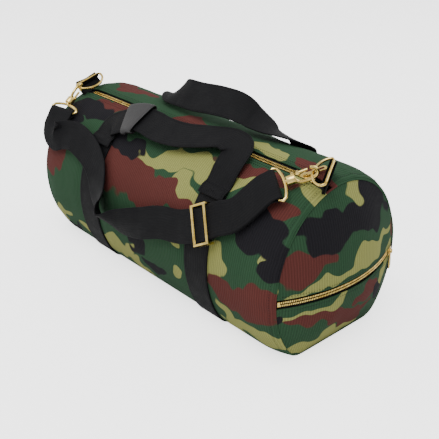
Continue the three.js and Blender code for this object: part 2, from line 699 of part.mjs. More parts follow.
// The strap runs from its sewn end at the adjuster, round the right eye, back over itself and
// through the adjuster, and on to the left eye, where its other end is folded back and sewn.
const ADJUSTER_BAR = 0.6; // half the thickness of the adjuster's bars
const ADJUSTER_LENGTH = 22;
const ADJUSTER_PLAY = 1.2; // room for the strap's bend between the bars
const adjusterTurn = ADJUSTER_BAR + GAP + WEB / 2;
const sliderShare = SLIDER_KNOT / lastKnot;
const [adjusterStation] = ribbon(strapKnots, 1, () => 0, sliderShare, 1);
function shoulderStrap() {
  const under = ribbon(strapKnots, 16, (t) => -spreadNear(0)(t), 0, sliderShare).reverse().map(turned);
  const { at, face, tangent } = adjusterStation;
  const centreBar = at.clone().addScaledVector(face, -layerShift - adjusterTurn);
  const sewn = halfTurn(centreBar, face, tangent, adjusterTurn).reverse().map(turned);
  const tail = steps(8, 1, 2).map((d) => ({
    at: sewn[0].at.clone().addScaledVector(tangent, -d),
    face: face.clone().negate(),
    tangent,
  }));
  const rightFace = ribbon(strapKnots, 1, () => 0, 0, 1)[0];
  const roundRight = halfTurn(right.origin, rightFace.face.clone().negate(), right.along, barShift);
  const over = ribbon(strapKnots, 90, (t) => Math.max(spreadNear(0)(t), spreadNear(lastKnot)(t)), 0, 1);
  const leftEnd = over.at(-1);
  const roundLeft = halfTurn(left.origin, leftEnd.face, left.along, barShift);
  const fold = ribbon(strapKnots, 8, (t) => -spreadNear(lastKnot)(t), 1 - 2 / lastKnot, 1);
  const parts = [tail, sewn, under.slice(1), roundRight.slice(1), over.slice(1), roundLeft.slice(1)];
  return webbingStrip([...parts.flat(), ...fold.reverse().map(turned).slice(1)]);
}
add("shoulder_strap", shoulderStrap(), webbing);

// The adjuster: two side plates, a middle bar under the strap and an end bar over it at each end.
function strapAdjuster() {
  const height = layerShift + adjusterTurn + ADJUSTER_BAR + ADJUSTER_PLAY;
  const railY = WEB_WIDTH / 2 + ADJUSTER_PLAY + 1.2;
  const thick = 2 * ADJUSTER_BAR;
  const rails = [-railY, railY].map((y) => box(ADJUSTER_LENGTH, 2.4, 2 * height, 0, y, 0));
  const ends = [-1, 1].map((end) =>
    box(3.4, 2 * railY, thick, (end * (ADJUSTER_LENGTH - 3.4)) / 2, 0, height - ADJUSTER_BAR),
  );
  const middle = box(thick, 2 * railY, thick, 0, 0, -layerShift - adjusterTurn);
  return join(...rails, ...ends, middle);
}
const adjuster = frameAt(adjusterStation.at, adjusterStation.tangent, adjusterStation.face);
add("strap_adjuster", strapAdjuster(), brass, adjuster);

export default bag;
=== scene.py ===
"""Drum stick bag: camouflage cloth, black webbing, brass zips and hooks, built on the CAD frame."""

import json
import math
from itertools import permutations

import bmesh
import bpy
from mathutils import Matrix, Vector, noise


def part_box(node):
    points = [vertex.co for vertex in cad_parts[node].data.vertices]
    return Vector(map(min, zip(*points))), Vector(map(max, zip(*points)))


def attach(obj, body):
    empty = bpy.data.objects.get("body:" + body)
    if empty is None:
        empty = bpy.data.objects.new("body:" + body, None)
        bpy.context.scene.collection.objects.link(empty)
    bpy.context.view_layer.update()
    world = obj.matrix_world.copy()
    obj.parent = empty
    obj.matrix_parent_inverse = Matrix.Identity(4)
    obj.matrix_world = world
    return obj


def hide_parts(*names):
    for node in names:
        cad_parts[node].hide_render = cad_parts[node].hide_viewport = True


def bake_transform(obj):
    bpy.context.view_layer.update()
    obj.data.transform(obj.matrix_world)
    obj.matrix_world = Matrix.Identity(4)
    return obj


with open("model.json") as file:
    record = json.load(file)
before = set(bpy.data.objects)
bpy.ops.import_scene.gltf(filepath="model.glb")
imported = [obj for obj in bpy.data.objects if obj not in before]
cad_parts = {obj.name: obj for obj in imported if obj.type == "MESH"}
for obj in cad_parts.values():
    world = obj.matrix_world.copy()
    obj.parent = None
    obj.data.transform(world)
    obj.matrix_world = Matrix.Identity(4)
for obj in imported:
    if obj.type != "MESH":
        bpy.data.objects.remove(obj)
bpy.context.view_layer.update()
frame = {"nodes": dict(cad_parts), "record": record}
NODES = frame["nodes"]

# ---- The shape of the stuffed cloth, as in the CAD -----------------------------------------

MM = 0.001
HALF_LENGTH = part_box("body_panel")[1].x
HALF_WIDTH = 102 * MM
RISE = 115 * MM  # from the section's centre up to the cloth
CENTRE_HEIGHT = 81 * MM
SEAM_PULL = 0.06  # share of its radius that the cloth loses at an end seam
PULL_START = 185 * MM
END_RADIUS = 200 * MM
SAG_ROUND = 12 * MM  # softness of the corner where the cloth meets the floor
BAND_X = 105 * MM  # the two webbing bands, either side of the middle
BAND_HALF = 19 * MM
BAND_PRESS = 2.1 * MM  # how far a band under the bag presses the cloth in
ZIP_ANGLE = 14
SLOT_HALF = 5.5 * MM
POCKET_ZIP_HEIGHT = 80 * MM


def clamp(value):
    """The value kept between 0 and 1."""
    return max(0.0, min(1.0, value))


def smooth(value):
    t = clamp(value)
    return t * t * (3 - 2 * t)


def lerp(a, b, t):
    return a + (b - a) * t


def fullness(x):
    """How full the tube is at x: 1 along the middle, less where an end seam pulls it in."""
    t = clamp((abs(x) - PULL_START) / (HALF_LENGTH - PULL_START))
    return 1 - SEAM_PULL * t * t


def off_the_bands(x):
    """The distance from x to the nearer band's edge; negative under a band."""
    return abs(abs(x) - BAND_X) - BAND_HALF


def pressed_in(x):
    """How far the webbing under the bag presses the cloth in, at x."""
    return BAND_PRESS * clamp(1 - (off_the_bands(x) - 2 * MM) / (5 * MM))


def settle(z, floor):
    """Heights near the floor are eased on to it."""
    t = z - floor + SAG_ROUND
    if t < 0:
        return floor
    return z if t > 2 * SAG_ROUND else floor + t * t / (4 * SAG_ROUND)


def outward(angle):
    """The cloth's outward direction, at an angle in degrees from the top to the front."""
    a = math.radians(angle)
    return Vector((0, -math.sin(a) / HALF_WIDTH, math.cos(a) / RISE)).normalized()


def on_body(x, angle, lift=0.0):
    """The point at x and angle that stands off the cloth by lift."""
    a = math.radians(angle)
    full = fullness(x)
    out = outward(angle)
    y = -HALF_WIDTH * full * math.sin(a) + lift * out.y
    z = CENTRE_HEIGHT + RISE * full * math.cos(a) + lift * out.z
    return Vector((x, y, settle(z, pressed_in(x) - lift)))


def dome_x(share):
    """How far out a domed end stands, at a share of the way from its centre to its seam."""
    seam_radius = HALF_WIDTH * fullness(HALF_LENGTH)
    sagitta = lambda radius: math.sqrt(END_RADIUS**2 - radius**2)
    return HALF_LENGTH + sagitta(share * seam_radius) - sagitta(seam_radius)


# ---- Node materials ----------------------------------------------------------------------

# A Mix node's sockets when it mixes colours.
MIX_FACTOR = 0
MIX_A = 6
MIX_B = 7
MIX_RESULT = 2


class Nodes:
    """A short way to write a material's node tree."""

    def __init__(self, name, roughness=0.8, metallic=0.0, specular=0.12):
        self.material = bpy.data.materials.new(name)
        self.material.use_nodes = True
        self.tree = self.material.node_tree
        self.shader = self.tree.nodes["Principled BSDF"]
        self.shader.inputs["Roughness"].default_value = roughness
        self.shader.inputs["Metallic"].default_value = metallic
        self.shader.inputs["Specular IOR Level"].default_value = specular

    def add(self, kind, **settings):
        node = self.tree.nodes.new("ShaderNode" + kind)
        for key, value in settings.items():
            setattr(node, key, value)
        return node

    def link(self, source, target):
        self.tree.links.new(source, target)

    def feed(self, node, index, value):
        """Sets an input to a number, a vector or another node's output."""
        socket = node.inputs[index]
        if isinstance(value, bpy.types.NodeSocket):
            self.link(value, socket)
        else:
            socket.default_value = value

    def math(self, operation, a, b=0.0, c=0.0):
        node = self.add("Math", operation=operation)
        for index, value in enumerate((a, b, c)):
            self.feed(node, index, value)
        return node.outputs[0]

    def vector(self, operation, a, b=(0, 0, 0)):
        node = self.add("VectorMath", operation=operation)
        self.feed(node, 0, a)
        self.feed(node, 1, b)
        return node.outputs["Value" if operation == "LENGTH" else "Vector"]

    def mix(self, factor, a, b):
        """Colour a where factor is 0, and b where it is 1."""
        node = self.add("Mix", data_type="RGBA")
        for index, value in ((MIX_FACTOR, factor), (MIX_A, a), (MIX_B, b)):
            self.feed(node, index, value)
        return node.outputs[MIX_RESULT]

    def place(self):
        """The piece's own cloth coordinates, in metres, stored on its vertices."""
        return self.add("Attribute", attribute_name="place").outputs["Vector"]

    def object_spot(self):
        return self.add("TexCoord").outputs["Object"]

    def noise_node(self, vector, scale, detail, roughness):
        node = self.add("TexNoise")
        self.feed(node, "Vector", vector)
        node.inputs["Scale"].default_value = scale
        node.inputs["Detail"].default_value = detail
        node.inputs["Roughness"].default_value = roughness
        return node

    def noise(self, vector, scale, detail):
        """Soft noise from 0 to 1; scale is in features for each metre."""
        return self.noise_node(vector, scale, detail, 0.5).outputs["Fac"]

    def clamped(self, value):
        node = self.add("Clamp")
        self.feed(node, 0, value)
        return node.outputs[0]

    def axis(self, vector, index):
        node = self.add("SeparateXYZ")
        self.feed(node, 0, vector)
        return node.outputs[index]

    def ramp(self, factor, stops):
        node = self.add("ValToRGB")
        self.feed(node, 0, factor)
        elements = node.color_ramp.elements
        while len(elements) < len(stops):
            elements.new(0.5)
        for element, (position, colour) in zip(elements, stops):
            element.position = position
            element.color = colour
        return node.outputs["Color"]

    def bump(self, height, distance, strength):
        """Adds a relief to the surface, on top of any that it already has."""
        node = self.add("Bump")
        node.inputs["Distance"].default_value = distance
        node.inputs["Strength"].default_value = strength
        self.link(height, node.inputs["Height"])
        previous = self.shader.inputs["Normal"].links
        if previous:
            self.link(previous[0].from_socket, node.inputs["Normal"])
        self.link(node.outputs["Normal"], self.shader.inputs["Normal"])

    def wave(self, coordinate, pitch):
        """A ridge profile from 0 to 1 that repeats every pitch metres."""
        turn = self.math("MULTIPLY", coordinate, 2 * math.pi / pitch)
        return self.math("MULTIPLY_ADD", self.math("SINE", turn), 0.5, 0.5)


def rgb(red, green, blue):
    """A screen colour of 0 to 255 as a linear colour."""
    channel = lambda c: c / 12.92 if c <= 0.04045 else ((c + 0.055) / 1.055) ** 2.4
    return (*(channel(c / 255) for c in (red, green, blue)), 1.0)


def paler(colour, times):
    return (*(channel * times for channel in colour[:3]), 1.0)


GREEN = rgb(42, 70, 48)
KHAKI = rgb(138, 140, 80)
BROWN = rgb(86, 44, 40)
BLACK = rgb(26, 25, 29)

# The camouflage patches on the body, in the order they're printed. Each is a colour, its middle
# as (x in mm, degrees round from the top to the front), its half sizes along and round the bag
# in mm, and its tilt in degrees.
BODY_PATCHES = [
    (KHAKI, 35, 40, 75, 17, -12),
    (KHAKI, 62, 56, 22, 16, 20),
    (KHAKI, 112, 33, 42, 12, 8),
    (KHAKI, -82, 112, 62, 15, -6),
    (KHAKI, -22, 119, 26, 12, 25),
    (KHAKI, 66, 105, 15, 10, 0),
    (KHAKI, 70, 85, 14, 8, 0),
    (KHAKI, 128, 86, 15, 30, 15),
    (KHAKI, 146, 118, 13, 30, -20),
    (KHAKI, 200, 64, 14, 11, -30),
    (KHAKI, 190, 118, 42, 9, 10),
    (KHAKI, 110, 6, 34, 10, 0),
    (KHAKI, 205, 20, 26, 15, 0),
    (KHAKI, -224, 56, 16, 12, 0),
    (KHAKI, -190, 112, 30, 10, -20),
    (KHAKI, -60, -40, 60, 18, 15),
    (KHAKI, 60, -95, 50, 22, -20),
    (KHAKI, -150, -95, 45, 20, 10),
    (KHAKI, 170, -60, 40, 18, 0),
    (BROWN, -58, 60, 46, 30, 8),
    (BROWN, -15, 62, 34, 20, -10),
    (BROWN, 38, 62, 34, 14, 0),
    (BROWN, 140, 26, 52, 13, 0),
    (BROWN, 198, 8, 34, 12, 10),
    (BROWN, 182, 46, 34, 13, -10),
    (BROWN, -196, 68, 28, 26, 0),
    (BROWN, -140, 24, 40, 12, -8),
    (BROWN, -150, -8, 46, 16, 0),
    (BROWN, -10, 10, 40, 14, 0),
    (BROWN, 170, 97, 44, 18, 12),
    (BROWN, 212, 90, 22, 14, 0),
    (BROWN, -10, -75, 60, 26, 12),
    (BROWN, 130, -100, 40, 18, -15),
    (BLACK, -60, 46, 42, 14, -4),
    (BLACK, -176, 34, 48, 18, -10),
    (BLACK, -196, 48, 26, 14, 0),
    (BLACK, 176, 55, 52, 18, 4),
    (BLACK, 208, 66, 14, 20, 0),
    (BLACK, -12, 102, 15, 20, 10),
    (BLACK, 18, 110, 16, 9, 0),
    (BLACK, -182, 122, 30, 9, 0),
    (BLACK, 90, 70, 20, 9, 0),
    (BLACK, -100, -70, 44, 16, 0),
    (BLACK, 70, -35, 44, 14, -12),
    (BLACK, 200, -100, 30, 20, 0),
]

# The patches on the ends, as a colour, (y, z) in mm, half sizes in mm and tilt in degrees.
END_PATCHES = [
    (KHAKI, -10, 102, 88, 9, 8),
    (KHAKI, 30, 176, 40, 12, -8),
    (KHAKI, -52, 62, 34, 7, 4),
    (KHAKI, -30, 12, 60, 12, 0),
    (KHAKI, 70, 70, 14, 22, -20),
    (BROWN, -62, 122, 36, 16, 16),
    (BROWN, 84, 118, 14, 26, 0),
    (BROWN, -18, 40, 56, 14, -16),
    (BROWN, 30, 58, 20, 16, 0),
    (BLACK, -34, 150, 46, 17, -22),
    (BLACK, 28, 150, 46, 22, 8),
    (BLACK, 52, 46, 20, 17, 0),
    (BLACK, -84, 60, 12, 12, 0),
]


LOBE_REACH = (70 * MM, 55 * MM, 0)  # how far noise may carry a patch's edge, both ways together
EDGE_SHARPNESS = 14.0  # how steeply a patch gives way to the colour around it


def patch_colour(nodes, place, patches):
    """Paints the patches over green, in order, with edges bent into lobes by noise."""
    coarse = nodes.noise_node(place, 30, 1.2, 0.45)
    centred = nodes.vector("SUBTRACT", coarse.outputs["Color"], (0.5, 0.5, 0.5))
    bent = nodes.vector("ADD", place, nodes.vector("MULTIPLY", centred, LOBE_REACH))
    colour = GREEN
    for shade, u, v, half_u, half_v, tilt in patches:
        mapping = nodes.add("Mapping", vector_type="TEXTURE")
        nodes.link(bent, mapping.inputs["Vector"])
        mapping.inputs["Location"].default_value = (u * MM, v * MM, 0)
        mapping.inputs["Rotation"].default_value = (0, 0, math.radians(tilt))
        mapping.inputs["Scale"].default_value = (half_u * MM, half_v * MM, 1)
        reach = nodes.vector("LENGTH", mapping.outputs["Vector"])
        inside = nodes.clamped(nodes.math("MULTIPLY_ADD", reach, -EDGE_SHARPNESS, EDGE_SHARPNESS + 0.5))
        colour = nodes.mix(inside, colour, shade)
    return colour


CORD_PITCH = 3 * MM


def camouflage(name, patches):
    """Corded cotton with a printed camouflage, faded a little in places, with painted shade in the grooves
    between its cords.
    """
    nodes = Nodes(name, roughness=0.86)
    place = nodes.place()
    colour = patch_colour(nodes, place, patches)
    cord = nodes.wave(nodes.axis(place, 0), CORD_PITCH)
    slub = nodes.noise(place, 900, 2)
    fade = nodes.noise(place, 9, 3)
    # Painted shade: the base colour is darkened in the grooves between the cords; slub and fade vary its
    # tone at random.
    shade = nodes.math("MULTIPLY_ADD", cord, 0.26, 0.78)
    shade = nodes.math("MULTIPLY", shade, nodes.math("MULTIPLY_ADD", slub, 0.34, 0.84))
    shade = nodes.math("MULTIPLY", shade, nodes.math("MULTIPLY_ADD", fade, 0.4, 0.8))
    tone = nodes.add("VectorMath", operation="SCALE")
    nodes.feed(tone, 0, colour)
    nodes.feed(tone, "Scale", shade)
    nodes.link(tone.outputs[0], nodes.shader.inputs["Base Color"])
    nodes.bump(slub, 0.15 * MM, 0.5)
    nodes.bump(cord, 0.45 * MM, 0.7)
    return nodes.material


def woven(name, colour, rib_pitch, line_pitch):
    """Webbing or thread: fine ribs across it, lengthwise lines, a little dust, and a painted sheen that
    makes the raised weave paler.
    """
    nodes = Nodes(name)
    place = nodes.place()
    rib = nodes.wave(nodes.axis(place, 0), rib_pitch)
    line = nodes.wave(nodes.axis(place, 1), line_pitch)
    weave = nodes.math("MULTIPLY_ADD", line, 0.45, nodes.math("MULTIPLY", rib, 0.55))
    dust = nodes.noise(place, 60, 4)
    # Painted sheen: the raised weave is painted up to twice as pale, in patches set by the dust noise.
    dust_and_sheen = nodes.math("MULTIPLY", weave, dust)
    nodes.link(nodes.mix(dust_and_sheen, colour, paler(colour, 2.0)), nodes.shader.inputs["Base Color"])
    nodes.link(nodes.math("MULTIPLY_ADD", dust, 0.3, 0.5), nodes.shader.inputs["Roughness"])
    nodes.bump(weave, 0.3 * MM, 0.8)
    return nodes.material


def brass(name):
    """Brass plating, faintly brushed, darker in places where it has tarnished."""
    nodes = Nodes(name, metallic=1.0, specular=0.5)
    spot = nodes.object_spot()
    cloud = nodes.noise(spot, 120, 4)
    colour = nodes.ramp(cloud, [(0.3, rgb(198, 164, 78)), (0.7, rgb(242, 216, 136))])
    nodes.link(colour, nodes.shader.inputs["Base Color"])
    scratch = nodes.noise(spot, 700, 3)
    nodes.link(nodes.math("MULTIPLY_ADD", scratch, 0.25, 0.1), nodes.shader.inputs["Roughness"])
    nodes.bump(scratch, 0.04 * MM, 0.3)
    return nodes.material


def leather(name):
    """Black grained leather, rubbed paler on its high places."""
    nodes = Nodes(name, specular=0.4)
    spot = nodes.object_spot()
    cells = nodes.add("TexVoronoi", feature="DISTANCE_TO_EDGE")
    nodes.feed(cells, "Vector", spot)
    cells.inputs["Scale"].default_value = 900
    wear = nodes.noise(spot, 70, 4)
    colour = nodes.ramp(wear, [(0.3, rgb(20, 19, 20)), (0.75, rgb(36, 34, 35))])
    nodes.link(colour, nodes.shader.inputs["Base Color"])
    nodes.link(nodes.math("MULTIPLY_ADD", wear, 0.35, 0.25), nodes.shader.inputs["Roughness"])
    nodes.bump(cells.outputs["Distance"], 0.25 * MM, 0.5)
    nodes.bump(wear, 0.6 * MM, 0.4)
    return nodes.material


def plain_weave(name, colour):
    """Thin black lining or zip tape with a fine weave."""
    nodes = Nodes(name, roughness=0.9)
    grain = nodes.noise(nodes.object_spot(), 1500, 2)
    nodes.link(nodes.mix(grain, colour, paler(colour, 1.8)), nodes.shader.inputs["Base Color"])
    nodes.bump(grain, 0.2 * MM, 0.6)
    return nodes.material


# The body's cloth is laid out as one sheet, cut at the main zip, so its angles run from the zip
# round to the zip again. A patch that lies over the zip is printed at both edges.
ROUND_SCALE = 1.89  # millimetres of cloth for a degree round the bag
PATCH_OVERLAP = 25  # a patch this near to the zip, in degrees, is printed at both edges


def on_sheet(patches):
    """The body's patches with their angles as millimetres round the sheet."""
    laid = []
    for shade, x, angle, half_u, half_v, tilt in patches:
        if abs(angle - ZIP_ANGLE) < PATCH_OVERLAP:
            laps = (0, 360)
        else:
            laps = (0,) if angle > ZIP_ANGLE else (360,)
        laid += [(shade, x, (angle + lap) * ROUND_SCALE, half_u, half_v, tilt) for lap in laps]
    return laid


CAMO_BODY = camouflage("camouflage_body", on_sheet(BODY_PATCHES))
CAMO_END = camouflage("camouflage_end", END_PATCHES)
WEBBING = woven("black_webbing", rgb(11, 11, 13), rib_pitch=1.4 * MM, line_pitch=3 * MM)
THREAD = woven("black_thread", rgb(24, 23, 26), rib_pitch=0.8 * MM, line_pitch=0.8 * MM)
BRASS = brass("brass_plating")
LEATHER = leather("grained_leather")
LINING = plain_weave("black_lining", rgb(26, 26, 28))
TAPE = plain_weave("zip_tape", rgb(22, 22, 24))

# ---- Mesh helpers ------------------------------------------------------------------------


def piece(name, verts, faces, material, body, places=None):
    """A new smooth piece; places are its cloth coordinates. It rides on a body when body is a name; a
    tuple of (fixed body, moving body, start, end) is not used, and the piece is left unattached with its
    transform baked."""
    mesh = bpy.data.meshes.new(name)
    mesh.from_pydata([tuple(v) for v in verts], [], faces)
    mesh.update()
    layer = mesh.attributes.new("place", "FLOAT_VECTOR", "POINT")
    layer.data.foreach_set("vector", [c for p in places or verts for c in p])
    mesh.polygons.foreach_set("use_smooth", [True] * len(mesh.polygons))
    mesh.materials.append(material)
    obj = bpy.data.objects.new(name, mesh)
    bpy.context.scene.collection.objects.link(obj)
    if isinstance(body, str):
        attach(obj, body)
    else:
        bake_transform(obj)
    return obj


def grid(rows, wrap=False):
    """Vertices and faces of a sheet from rows of points."""
    width = len(rows[0])
    faces = []
    for i in range(len(rows) - 1):
        for j in range(width if wrap else width - 1):
            k = (j + 1) % width
            near = i * width
            far = near + width
            faces.append((near + j, far + j, far + k, near + k))
    return [p for row in rows for p in row], faces


def to_bmesh(verts, faces):
    mesh = bmesh.new()
    corners = [mesh.verts.new(v) for v in verts]
    for face in faces:
        mesh.faces.new([corners[index] for index in face])
    return mesh


def from_bmesh(mesh):
    """Vertices and faces of a bmesh, which is then freed."""
    mesh.verts.index_update()
    verts = [v.co.copy() for v in mesh.verts]
    faces = [tuple(v.index for v in face.verts) for face in mesh.faces]
    mesh.free()
    return verts, faces


def welded(node):
    """A CAD node's mesh with its split vertices joined."""
    mesh = bmesh.new()
    mesh.from_mesh(NODES[node].data)
    bmesh.ops.remove_doubles(mesh, verts=mesh.verts, dist=1e-6)
    return mesh


def outward_faces(verts, faces):
    """The same faces, each wound so that it looks out of its closed piece."""
    mesh = to_bmesh(verts, faces)
    bmesh.ops.recalc_face_normals(mesh, faces=mesh.faces)
    return from_bmesh(mesh)[1]


def thicken(obj, depth):
    """Gives a sheet its thickness, away from the way its faces look."""
    solid = obj.modifiers.new("thickness", "SOLIDIFY")
    solid.thickness = depth
    solid.offset = -1


def spaced(line, pitch, start=0.0):
    """Places a pitch apart along a line of (point, *rest) stations: (place, ahead, *rest)."""
    travelled = start
    for (a, *rest), (b, *_) in zip(line, line[1:]):
        span = (b - a).length
        if span < 1e-7:
            continue
        ahead = (b - a) / span
        while travelled < span:
            yield a + ahead * travelled, ahead, *rest
            travelled += pitch
        travelled -= span


STITCH_PITCH = 3.2 * MM
STITCH_HALF = 0.36 * STITCH_PITCH
THREAD_RADIUS = 0.34 * MM
# A stitch is a bead of eight faces: corners 0 and 1 are its ends, the rest go round its middle.
STITCH_FACES = [(0, 2, 4), (0, 4, 3), (0, 3, 5), (0, 5, 2), (1, 4, 2), (1, 3, 4), (1, 5, 3), (1, 2, 5)]


def stitches(name, lines, body):
    """Rows of thread: each line is a list of (point, outward) pairs."""
    verts = []
    faces = []
    for line in lines:
        for spot, ahead, out in spaced(line, STITCH_PITCH):
            side = ahead.cross(out).normalized()
            middle = spot + out * THREAD_RADIUS * 0.4
            base = len(verts)
            for way in (-ahead * STITCH_HALF, out * THREAD_RADIUS, side * THREAD_RADIUS):
                verts += [middle + way, middle - way]
            faces += [tuple(base + corner for corner in face) for face in STITCH_FACES]
    piece(name, verts, faces, THREAD, body)


# ---- Cloth body --------------------------------------------------------------------------

CLOTH_THICKNESS = 1.4 * MM
ZIP_EDGE = math.degrees(SLOT_HALF / HALF_WIDTH)  # half the zip's opening, in degrees
SHEET_FROM = ZIP_ANGLE + ZIP_EDGE
SHEET_TO = ZIP_ANGLE + 360 - ZIP_EDGE


def wrapped(angle):
    """The same angle between -180 and 180 degrees."""
    return (angle + 180) % 360 - 180


def swell(x, angle):
    """How far the padded cloth stands off the CAD surface: full between the bands, puckered at
    the seams, and flat under the webbing, at the zip and on the floor."""
    turn = wrapped(angle)
    off_band = smooth((off_the_bands(x) - 1 * MM) / (14 * MM))
    off_zip = smooth((abs(turn - ZIP_ANGLE) - 6) / 12)
    off_floor = smooth((125 - abs(turn)) / 20)
    soft = noise.noise(Vector((x * 16, turn * 0.05, 3.1)))
    folds = noise.noise(Vector((x * 42, turn * 0.022, 7.7)))
    height = off_band * off_zip * off_floor * (0.9 + 0.9 * soft + 0.7 * folds)
    at_seam = smooth((abs(x) - 180 * MM) / (35 * MM)) * smooth((HALF_LENGTH - abs(x)) / (5 * MM))
    pucker = math.sin(math.radians(turn) * 26 + 4 * noise.noise(Vector((turn * 0.06, x * 9, 0))))
    return (height + off_floor * at_seam * off_zip * pucker * 0.6) * MM


def evenly(first, last, count):
    """Equal steps from first to last, with both ends."""
    return [lerp(first, last, i / count) for i in range(count + 1)]


def build_body():
    """The padded cloth round the bag, open at the main zip."""
    rows = []
    places = []
    angles = evenly(SHEET_FROM, SHEET_TO, 260)
    for x in evenly(-HALF_LENGTH, HALF_LENGTH, 176):
        rows.append([on_body(x, angle, swell(x, angle)) for angle in angles])
        places += [(x, angle * ROUND_SCALE * MM, 0) for angle in angles]
    verts, faces = grid(rows)
    faces = [tuple(reversed(face)) for face in faces]
    obj = piece("camouflage_body", verts, faces, CAMO_BODY, "bag", places)
    thicken(obj, CLOTH_THICKNESS)
    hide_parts("body_panel")


RIM_DEPTH = 1.5 * MM  # of an end panel's rim inside the body's cloth
END_RINGS = 60
END_SPOKES = 144


def end_surface(side, share, angle):
    """A point on a domed end, a share of the way out to its seam, with a padded end's dents."""
    rim = on_body(HALF_LENGTH, angle, -RIM_DEPTH)
    y = rim.y * share
    z = lerp(CENTRE_HEIGHT, rim.z, share)
    broad = noise.noise(Vector((y * 24, z * 24, 5)))
    fine = noise.noise(Vector((y * 60, z * 60, 9)))
    off_rim = smooth((1 - share) / 0.15)
    x = dome_x(share) + off_rim * (1.4 * broad + 0.5 * fine) * MM
    return Vector((side * x, y, z))


def build_end(name, side, node, low=-1.0, high=1.0):
    """A domed end panel, cut to lie between two heights."""
    angles = [360 * j / END_SPOKES for j in range(END_SPOKES)]
    shares = [i / END_RINGS for i in range(1, END_RINGS + 1)]
    verts, faces = grid([[end_surface(side, share, a) for a in angles] for share in shares], wrap=True)
    middle = len(verts)
    verts.append(end_surface(side, 0, 0))
    faces += [(middle, j, (j + 1) % END_SPOKES) for j in range(END_SPOKES)]
    if side < 0:
        faces = [tuple(reversed(face)) for face in faces]
    whole = to_bmesh(verts, faces)
    for height, way in ((low, -1), (high, 1)):
        everything = [*whole.verts, *whole.edges, *whole.faces]
        cut = {"plane_co": (0, 0, height), "plane_no": (0, 0, way), "clear_outer": True}
        bmesh.ops.bisect_plane(whole, geom=everything, dist=1e-6, **cut)
    verts, faces = from_bmesh(whole)
    places = [(side * v.y, v.z, 0) for v in verts]
    obj = piece(name, verts, faces, CAMO_END, "bag", places)
    thicken(obj, CLOTH_THICKNESS)
    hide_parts(node)


CORD_RADIUS = 1.2 * MM
CORD_DEPTH = 1.0 * MM  # of the cord's middle below the body's cloth
CORD_INSET = 0.4 * MM  # of the cord's middle from the end of the tube
CORD_SIDES = 10


def seam_cord(name, side):
    """The corded seam between the body and an end."""
    rows = []
    places = []
    turns = [2 * math.pi * k / CORD_SIDES for k in range(CORD_SIDES)]
    for angle in evenly(SHEET_FROM, SHEET_FROM + 360, 240):
        centre = on_body(HALF_LENGTH, angle, -CORD_DEPTH)
        centre.x = side * (HALF_LENGTH - CORD_INSET)
        out = outward(angle)
        spokes = [out * math.cos(a) + Vector((side * math.sin(a), 0, 0)) for a in turns]
        row = [centre + spoke * CORD_RADIUS for spoke in spokes]
        rows.append([Vector((p.x, p.y, max(p.z, 0))) for p in row])
        places += [(side * HALF_LENGTH, angle * ROUND_SCALE * MM, 0)] * CORD_SIDES
    verts, faces = grid(rows, wrap=True)
    if side < 0:
        faces = [tuple(reversed(face)) for face in faces]
    piece(name, verts, faces, CAMO_BODY, "bag", places)


ZIP_STITCH_TURNS = (1.76, 3.63)  # the two rows beside the main zip, in degrees from its edge
ZIP_STITCH_REACH = 205 * MM
SEAM_STITCH_X = 214 * MM
FLOOR_TURN = 128  # degrees from the top beyond which the cloth is too near the floor to show
POCKET_STITCH_GAP = 3 * MM
POCKET_STITCH_REACH = 88 * MM
POCKET_STITCH_LIFT = 0.3 * MM
POCKET_HALF_WIDTH = 0.918 * HALF_WIDTH  # where the pocket's stitches take the end's seam to be


def build_body_stitches():
    """Double rows of stitching beside the main zip, and one row beside each end seam."""
    spot = lambda x, angle: (on_body(x, angle, swell(x, angle)), outward(angle))
    lines = []
    for turn in ZIP_STITCH_TURNS:
        for side in (-1, 1):
            angle = ZIP_ANGLE + side * (ZIP_EDGE + turn)
            lines.append([spot(x, angle) for x in evenly(-ZIP_STITCH_REACH, ZIP_STITCH_REACH, 120)])
    seam_angles = [a for a in evenly(SHEET_FROM + 2, SHEET_TO - 2, 240) if abs(wrapped(a)) < FLOOR_TURN]
    for x in (-SEAM_STITCH_X, SEAM_STITCH_X):
        lines.append([spot(x, angle) for angle in seam_angles])
    stitches("cloth_stitching", lines, "bag")


def build_pocket_stitches():
    """A row of stitching above and below the pocket's zip."""
    rows = []
    for side in (1, -1):
        height = POCKET_ZIP_HEIGHT + side * (SLOT_HALF + POCKET_STITCH_GAP)
        row = []
        for y in evenly(-POCKET_STITCH_REACH, POCKET_STITCH_REACH, 96):
            share = min(1.0, math.hypot(y, height - CENTRE_HEIGHT) / POCKET_HALF_WIDTH)
            out = Vector((0.9, y / END_RADIUS, 0)).normalized()
            row.append((Vector((dome_x(share) + POCKET_STITCH_LIFT, y, height)), out))
        rows.append(row)
    stitches("pocket_stitching", rows, "bag")


build_body()
build_end("camouflage_left_end", -1, "left_end_panel")
build_end("camouflage_pocket_top", 1, "right_end_panel_upper", low=POCKET_ZIP_HEIGHT + SLOT_HALF)
build_end("camouflage_pocket_bottom", 1, "right_end_panel_lower", high=POCKET_ZIP_HEIGHT - SLOT_HALF)
seam_cord("left_seam_cord", -1)
seam_cord("right_seam_cord", 1)
build_body_stitches()
build_pocket_stitches()

# ---- Webbing, remade from the CAD strips ---------------------------------------------------


def walk_rings(start):
    """Rings of vertices, each one step further from the start."""
    rings = [list(start)]
    seen = set(start)
    while rings[-1]:
        nearby = {edge.other_vert(v) for v in rings[-1] for edge in v.link_edges} - seen
        seen |= nearby
        rings.append(list(nearby))
    return rings[:-1]


